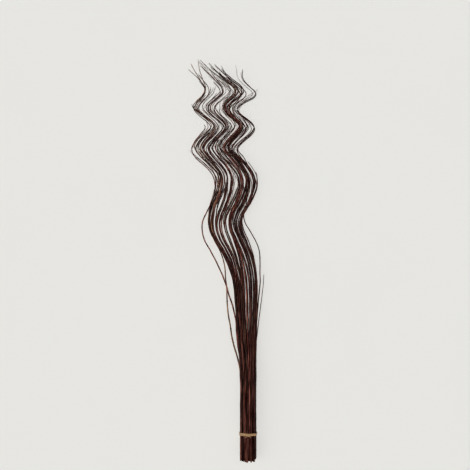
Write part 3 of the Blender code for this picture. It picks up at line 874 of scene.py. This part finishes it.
def rolledTube(bm, route, radii, sides, layers, shades, ages, first=(0, 0, 1), profile=None, slant=0.0):
    uvMap, shadeLayer, ageLayer = layers
    rings = len(route)
    ahead, sideways, upwards = alongFrames(route, first)
    travelled = np.append(0, np.cumsum(np.linalg.norm(np.diff(route, axis=0), axis=1)))
    turns = 2 * math.pi * np.arange(sides + 1) / sides
    reach = np.repeat(radii[:, None], sides + 1, axis=1)
    if profile is not None:
        reach = reach * profile(turns[None, :], travelled[:, None])
    offsets = reach[..., None] * (
        np.cos(turns)[None, :, None] * sideways[:, None] + np.sin(turns)[None, :, None] * upwards[:, None])
    if slant:
        for row, fade in ((0, 1.0), (1, 0.4)):
            offsets[row] += ahead[row] * (slant * fade * (offsets[row] @ sideways[row]))[:, None]
    spots = route[:, None] + offsets
    grid = bmesh.ops.create_grid(bm, x_segments=sides, y_segments=rings - 1, size=1, calc_uvs=True)["verts"]
    cells = {vert: (round((vert.co.x + 1) / 2 * sides), round((vert.co.y + 1) / 2 * (rings - 1))) for vert in grid}
    for face in {face for vert in grid for face in vert.link_faces}:
        face.smooth = True
        for loop in face.loops:
            column, row = cells[loop.vert]
            loop[uvMap].uv = (column / sides, travelled[row])
    seam, ends = [], ([], [])
    for vert, (column, row) in cells.items():
        vert.co = spots[row, column]
        vert[shadeLayer] = shades[row]
        vert[ageLayer] = ages[row]
        if column in (0, sides):
            seam.append(vert)
        if row in (0, rings - 1):
            ends[row > 0].append(vert)
    bmesh.ops.remove_doubles(bm, verts=seam, dist=1e-7)
    caps = []
    for rim in ends:
        edges = {edge for vert in rim if vert.is_valid for edge in vert.link_edges if edge.is_boundary}
        caps += bmesh.ops.contextual_create(bm, geom=list(edges))["faces"]
    return caps, ahead, sideways, upwards


def addCut(bm, face, uvMap, middle, radius, across, up):
    # the pale cut wood inside its rim of bark, on a map of its own with its middle at (0.5, 0.5)
    bmesh.ops.inset_region(bm, faces=[face], thickness=fine["barkRim"] * radius, depth=0, use_even_offset=True)
    face.material_index = 1
    for loop in face.loops:
        away = loop.vert.co - middle
        loop[uvMap].uv = (0.5 + away.dot(across) / radius / 2, 0.5 + away.dot(up) / radius / 2)


def newLayers(bm):
    return bm.loops.layers.uv.new("strandMap"), bm.verts.layers.float.new("shade"), bm.verts.layers.float.new("age")


def budShape():
    # one pointed bud, lengthwise along Z, with its back to the stem
    bm = bmesh.new()
    newLayers(bm)
    bmesh.ops.create_uvsphere(bm, u_segments=bud["around"], v_segments=bud["rows"], radius=1, calc_uvs=True)
    for vert in bm.verts:
        slim = 1 - bud["slim"] * max(0, vert.co.z)
        vert.co = (vert.co.x * slim, vert.co.y * bud["flat"] * slim, vert.co.z + bud["ahead"])
    for face in bm.faces:
        face.smooth = True
    return bm


def addBud(bm, middle, ahead, outward, radius, shade, age, chance):
    length = chance.uniform(*bud["length"]) * mm / 2 * (bud["shorter"] if radius < bud["thinStem"] * mm else 1)
    width = max(bud["smallest"] * mm, bud["width"] * radius)
    lengthwise = (ahead + outward * bud["lean"]).normalized()
    across = outward.cross(lengthwise).normalized()
    rise = lengthwise.cross(across)
    place = Matrix((across * width, rise * width, lengthwise * length)).transposed().to_4x4()
    place.translation = middle + outward * radius * bud["sunk"]
    one = oneBud.copy()
    bmesh.ops.transform(one, matrix=place, verts=one.verts)
    shadeLayer, ageLayer = one.verts.layers.float["shade"], one.verts.layers.float["age"]
    for vert in one.verts:
        vert[shadeLayer], vert[ageLayer] = shade, age
    mesh = meshFrom("bud", one)
    bm.from_mesh(mesh)
    bpy.data.meshes.remove(mesh)


def addStrand(bm, made, layers, shade, sides, cut, chance):
    along, nodes = made["along"], made["nodes"]
    route = (np.stack((made["across"], along, made["above"]), axis=1) - origin) * mm
    radii = made["radii"] * mm
    ages = along / bunch["length"]
    shades = np.full(len(along), shade)
    for node in nodes:
        shades -= shading["nodeDarker"] * np.exp(-((along - node) / shading["nodeReach"]) ** 2)
    slant = chance.uniform(-1, 1) * fine["cutSlope"] if cut else 0.0
    caps, ahead, sideways, upwards = rolledTube(bm, route, radii, sides, layers, shades, ages, slant=slant)
    if cut:
        addCut(bm, caps[0], layers[0], Vector(route[0]), radii[0], Vector(sideways[0]), Vector(upwards[0]))
    turn = chance.uniform(0, 2 * math.pi)
    budShade = shade - shading["budDarker"]
    for node in nodes:
        row = int(np.abs(along - node).argmin())
        outward = Vector(math.cos(turn) * sideways[row] + math.sin(turn) * upwards[row])
        if route[row][2] < radii[row] + bud["offFloor"] * mm:
            outward.z = abs(outward.z)
        addBud(bm, Vector(route[row]), Vector(ahead[row]), outward, radii[row], budShade, ages[row], chance)
        turn += bud["every"]


def meshFrom(name, bm, materials=()):
    mesh = bpy.data.meshes.new(name)
    bm.to_mesh(mesh)
    bm.free()
    for material in materials:
        mesh.materials.append(material)
    return mesh


def newObject(name, data):
    made = bpy.data.objects.new(name, data)
    bpy.context.scene.collection.objects.link(made)
    return made


def finished(name, bm, materials, node):
    bmesh.ops.recalc_face_normals(bm, faces=bm.faces)
    piece = newObject(name, meshFrom(name, bm, materials))
    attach(piece, "root")
    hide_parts(node)


tones = [name for name, tone in barks.items() for _ in range(tone["count"])]
draw.shuffle(tones)
chance = random.Random(4)
fineStrands = [fineStrand(number, chance) for number in range(len(strands))]
shoots = addShoots(fineStrands, chance)
print("shoots grown:", len(shoots))

oneBud = budShape()
toTheRight = np.array([
    np.interp(shading["readAt"], one["along"], one["across"]) for one in fineStrands[:len(branches)]])
toTheRight -= toTheRight.mean()
toTheRight /= np.abs(toTheRight).max()
faceCount = 0
for number in range(len(branches)):
    bm = bmesh.new()
    layers = newLayers(bm)
    # painted shade: branches further to the right are darker, as if lit from the left; each also gets a random tone of
    # its own
    shade = shading["middle"] - shading["paintedShadeToTheRight"] * toTheRight[number]
    shade = min(1.0, max(0.0, shade + chance.uniform(-shading["own"], shading["own"])))
    onTwigs = [fineStrands[k] for k, strand in enumerate(twigs, len(branches)) if strand["parent"] == number]
    onShoots = [made for made in shoots if made["branch"] == number]
    kinds = (("branchSides", [fineStrands[number]]), ("twigSides", onTwigs), ("shootSides", onShoots))
    for sides, group in kinds:
        for made in group:
            addStrand(bm, made, layers, shade, fine[sides], sides == "branchSides", chance)
    faceCount += len(bm.faces)
    tone, label = tones[number], f"{number + 1:02d}"
    finished(f"willowBranch{label}", bm, (barkMaterials[tone], cutWood), f"branch_{label}")
print("branches made:", faceCount, "faces")


# The binding: a few tight turns of three-ply twine, knotted on top, with two short tails.
def pliedTwine(turn, travelled):
    twist = 2 * math.pi * travelled / (binding["plyTwist"] * mm)
    return 1 - binding["plyDepth"] * (1 - np.abs(np.cos(binding["plies"] * (turn - twist) / 2)))


def evenly(points, step):
    travelled = np.append(0, np.cumsum(np.linalg.norm(np.diff(points, axis=0), axis=1)))
    places = np.linspace(0, travelled[-1], int(travelled[-1] / step) + 1)
    return np.stack([np.interp(places, travelled, points[:, axis]) for axis in range(3)], axis=1)


def windingRoute():
    directions = binding["directions"]
    loop = tieLoop(binding["gap"] + binding["thickness"] / 2, directions)
    count = int(directions * binding["turns"]) + 1
    steps = np.arange(count)
    around = loop[(steps + directions // 2) % directions]
    spread = (steps / directions - binding["turns"] / 2) * binding["pitch"]
    # both ends climb over the other turns, towards the knot
    toEnd = np.minimum(steps, count - 1 - steps) / directions
    climb = 1 - eased(toEnd / binding["climbOver"])
    along = binding["along"] + spread * (1 - binding["drawnIn"] * climb)
    above = around[:, 1] + climb * binding["thickness"] * binding["climb"]
    return evenly(np.stack((around[:, 0], along, above), axis=1), 0.6)


def knotRoute(top):
    # an overhand knot drawn tight, with its two tails lying along the bundle
    turns = np.linspace(binding["knotGap"], 2 * math.pi - binding["knotGap"], 90)
    size = binding["knotSize"]
    knot = np.stack((
        size * (np.sin(turns) + 2 * np.sin(2 * turns)),
        size * (np.cos(turns) - 2 * np.cos(2 * turns)),
        -binding["knotHeight"] * np.sin(3 * turns)), axis=1)

    def tailFrom(spot, steps, name):
        runs, sinks = np.array(binding[name])
        return spot + steps * binding["tail"] * runs + sinks * steps ** 2

    steps = np.linspace(1, 0, 16)[:-1, None]
    first, last = tailFrom(knot[0], steps, "firstTail"), tailFrom(knot[-1], steps[::-1], "lastTail")
    return evenly(np.concatenate((first, knot, last)) + top, 0.5)


def addTwine(bm, layers, route, first):
    radii = np.full(len(route), binding["thickness"] / 2 * mm)
    radii[[0, -1]] *= binding["endShare"]
    even = np.full(len(route), 0.5)
    route = (route - origin) * mm
    rolledTube(bm, route, radii, binding["sides"], layers, even, even, first=first, profile=pliedTwine)


bm = bmesh.new()
layers = newLayers(bm)
winding = windingRoute()
addTwine(bm, layers, winding, (0, 1, 0))
topRow = int(winding[:, 2].argmax())
knotAbove = winding[topRow, 2] + binding["thickness"] * binding["knotAbove"]
knotPlace = np.array((winding[0, 0], binding["along"], knotAbove))
addTwine(bm, layers, knotRoute(knotPlace), (0, 0, 1))
finished("bindingTwine", bm, (twine,), "binding")
print("binding made")


# The floor, the light and the camera.
floor = {"size": 30.0, "colour": (0.80, 0.795, 0.78), "roughness": 0.9}

lights = {
    "surround": {"light": 0.09, "seen": 0.475, "colour": (1.0, 1.0, 1.0)},
    "key": {"strength": 1.57, "spread": 11.0, "from": (-0.045, 0.04, 1.0), "colour": (1.0, 1.0, 0.99)},
    "fill": {"strength": 0.16, "spread": 50.0, "from": (-1.0, -0.35, 0.9), "colour": (1.0, 0.99, 0.97)},
}

camera = {
    "lens": 85.0,
    "frameWidth": 1.617,  # metres of floor across the picture
    "middleAcross": -44.7,  # mm, before the bunch's own origin is taken off
    "middleAlong": 774.5,
}


def makeFloor():
    bm = bmesh.new()
    bmesh.ops.create_grid(bm, x_segments=1, y_segments=1, size=floor["size"] / 2)
    material, tree, shader = newMaterial("paleFloor", floor["roughness"])
    place = addNode(tree, "ShaderNodeTexCoord")
    speckle = addNode(tree, "ShaderNodeTexNoise", Scale=3.0, Detail=3.0)
    tree.links.new(place.outputs["Object"], speckle.inputs["Vector"])
    soft = tuple(0.985 * c for c in floor["colour"])
    tree.links.new(addMix(tree, speckle.outputs["Fac"], floor["colour"], soft), shader.inputs["Base Color"])
    newObject("paleFloor", meshFrom("paleFloor", bm, (material,)))


def makeLights():
    world = bpy.data.worlds.new("softStudio")
    world.use_nodes = True
    tree = world.node_tree
    facts = lights["surround"]
    dim = tree.nodes["Background"]
    seen = addNode(tree, "ShaderNodeBackground")
    for background, strength in ((dim, facts["light"]), (seen, facts["seen"])):
        background.inputs["Color"].default_value = (*facts["colour"], 1)
        background.inputs["Strength"].default_value = strength
    path = addNode(tree, "ShaderNodeLightPath")
    mix = addNode(tree, "ShaderNodeMixShader")
    for source, socket in zip((path.outputs["Is Camera Ray"], dim.outputs[0], seen.outputs[0]), mix.inputs):
        tree.links.new(source, socket)
    tree.links.new(mix.outputs[0], tree.nodes["World Output"].inputs["Surface"])
    bpy.context.scene.world = world
    for name in ("key", "fill"):
        facts = lights[name]
        data = bpy.data.lights.new(name, "SUN")  # even over the whole floor
        data.angle = math.radians(facts["spread"])
        data.energy = facts["strength"]
        data.color = facts["colour"]
        lamp = newObject(name, data)
        lamp.location = 4 * Vector(facts["from"])
        lamp.rotation_euler = (-Vector(facts["from"])).to_track_quat("-Z", "Y").to_euler()


def makeCamera():
    data = bpy.data.cameras.new("camera")
    data.lens = camera["lens"]
    eye = newObject("camera", data)
    height = camera["frameWidth"] * data.lens / data.sensor_width
    eye.location = (
        (camera["middleAcross"] - origin[0]) * mm, (camera["middleAlong"] - origin[1]) * mm, height)
    bpy.context.scene.camera = eye


makeFloor()
makeLights()
makeCamera()
bpy.context.scene.view_settings.view_transform = "Standard"
bpy.context.scene.view_settings.look = "Very High Contrast"
print("stage set")
